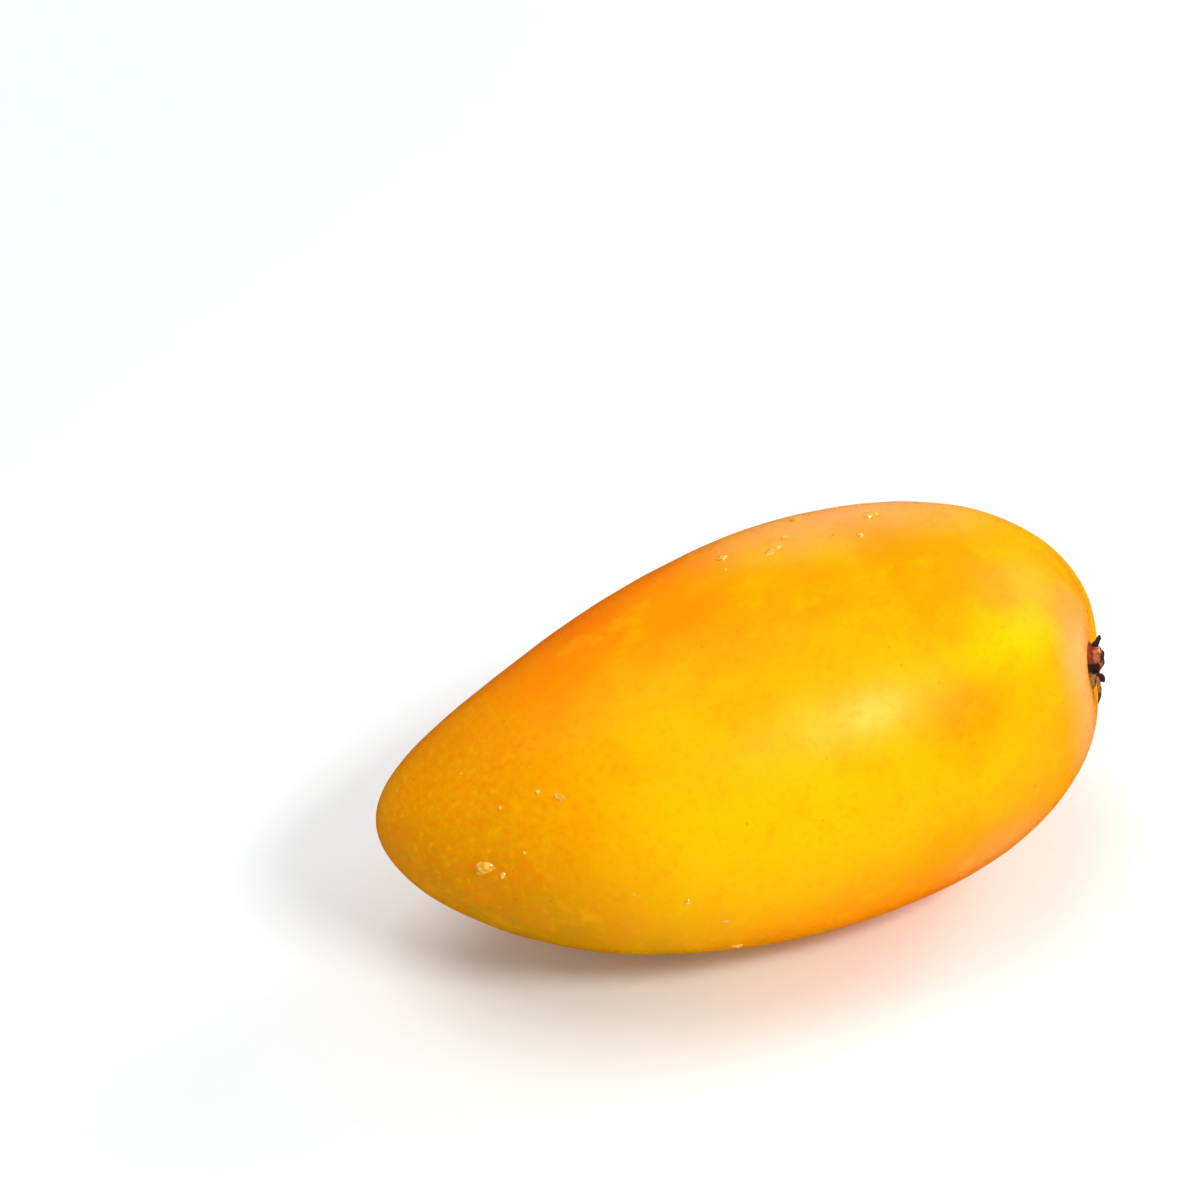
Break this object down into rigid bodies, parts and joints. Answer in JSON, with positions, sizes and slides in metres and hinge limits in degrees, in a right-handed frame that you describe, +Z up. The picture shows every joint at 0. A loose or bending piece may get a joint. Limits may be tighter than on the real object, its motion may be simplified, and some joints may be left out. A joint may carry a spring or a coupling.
{
  "type": "mango",
  "caption": "Ripe golden mango lying on its broad side, with a blunt leaning tip and a withered stem end in a shallow dimple",
  "frame": {"origin": "centre of the small flat spot that the fruit rests on", "axes": "+Z up, across the fruit's thinner way; +X along the fruit from its tip to its stem end; +Y across it, towards the straighter flank that the tip leans to"},
  "size_m": [0.1226, 0.0669, 0.0603],
  "materials": {
    "skin": "satin, waxy, finely pebbled towards the tip",
    "stem_base": "dry, matte, red-brown",
    "stem_stub": "dry, matte, broken end",
    "sepals": "withered, matte, near black"
  },
  "bodies": {
    "root": {"fruit": "skin", "stem_base": "stem_base", "stem_stub": "stem_stub", "sepal_1": "sepals", "sepal_2": "sepals", "sepal_3": "sepals", "sepal_4": "sepals", "sepal_5": "sepals"}
  },
  "joints": []
}
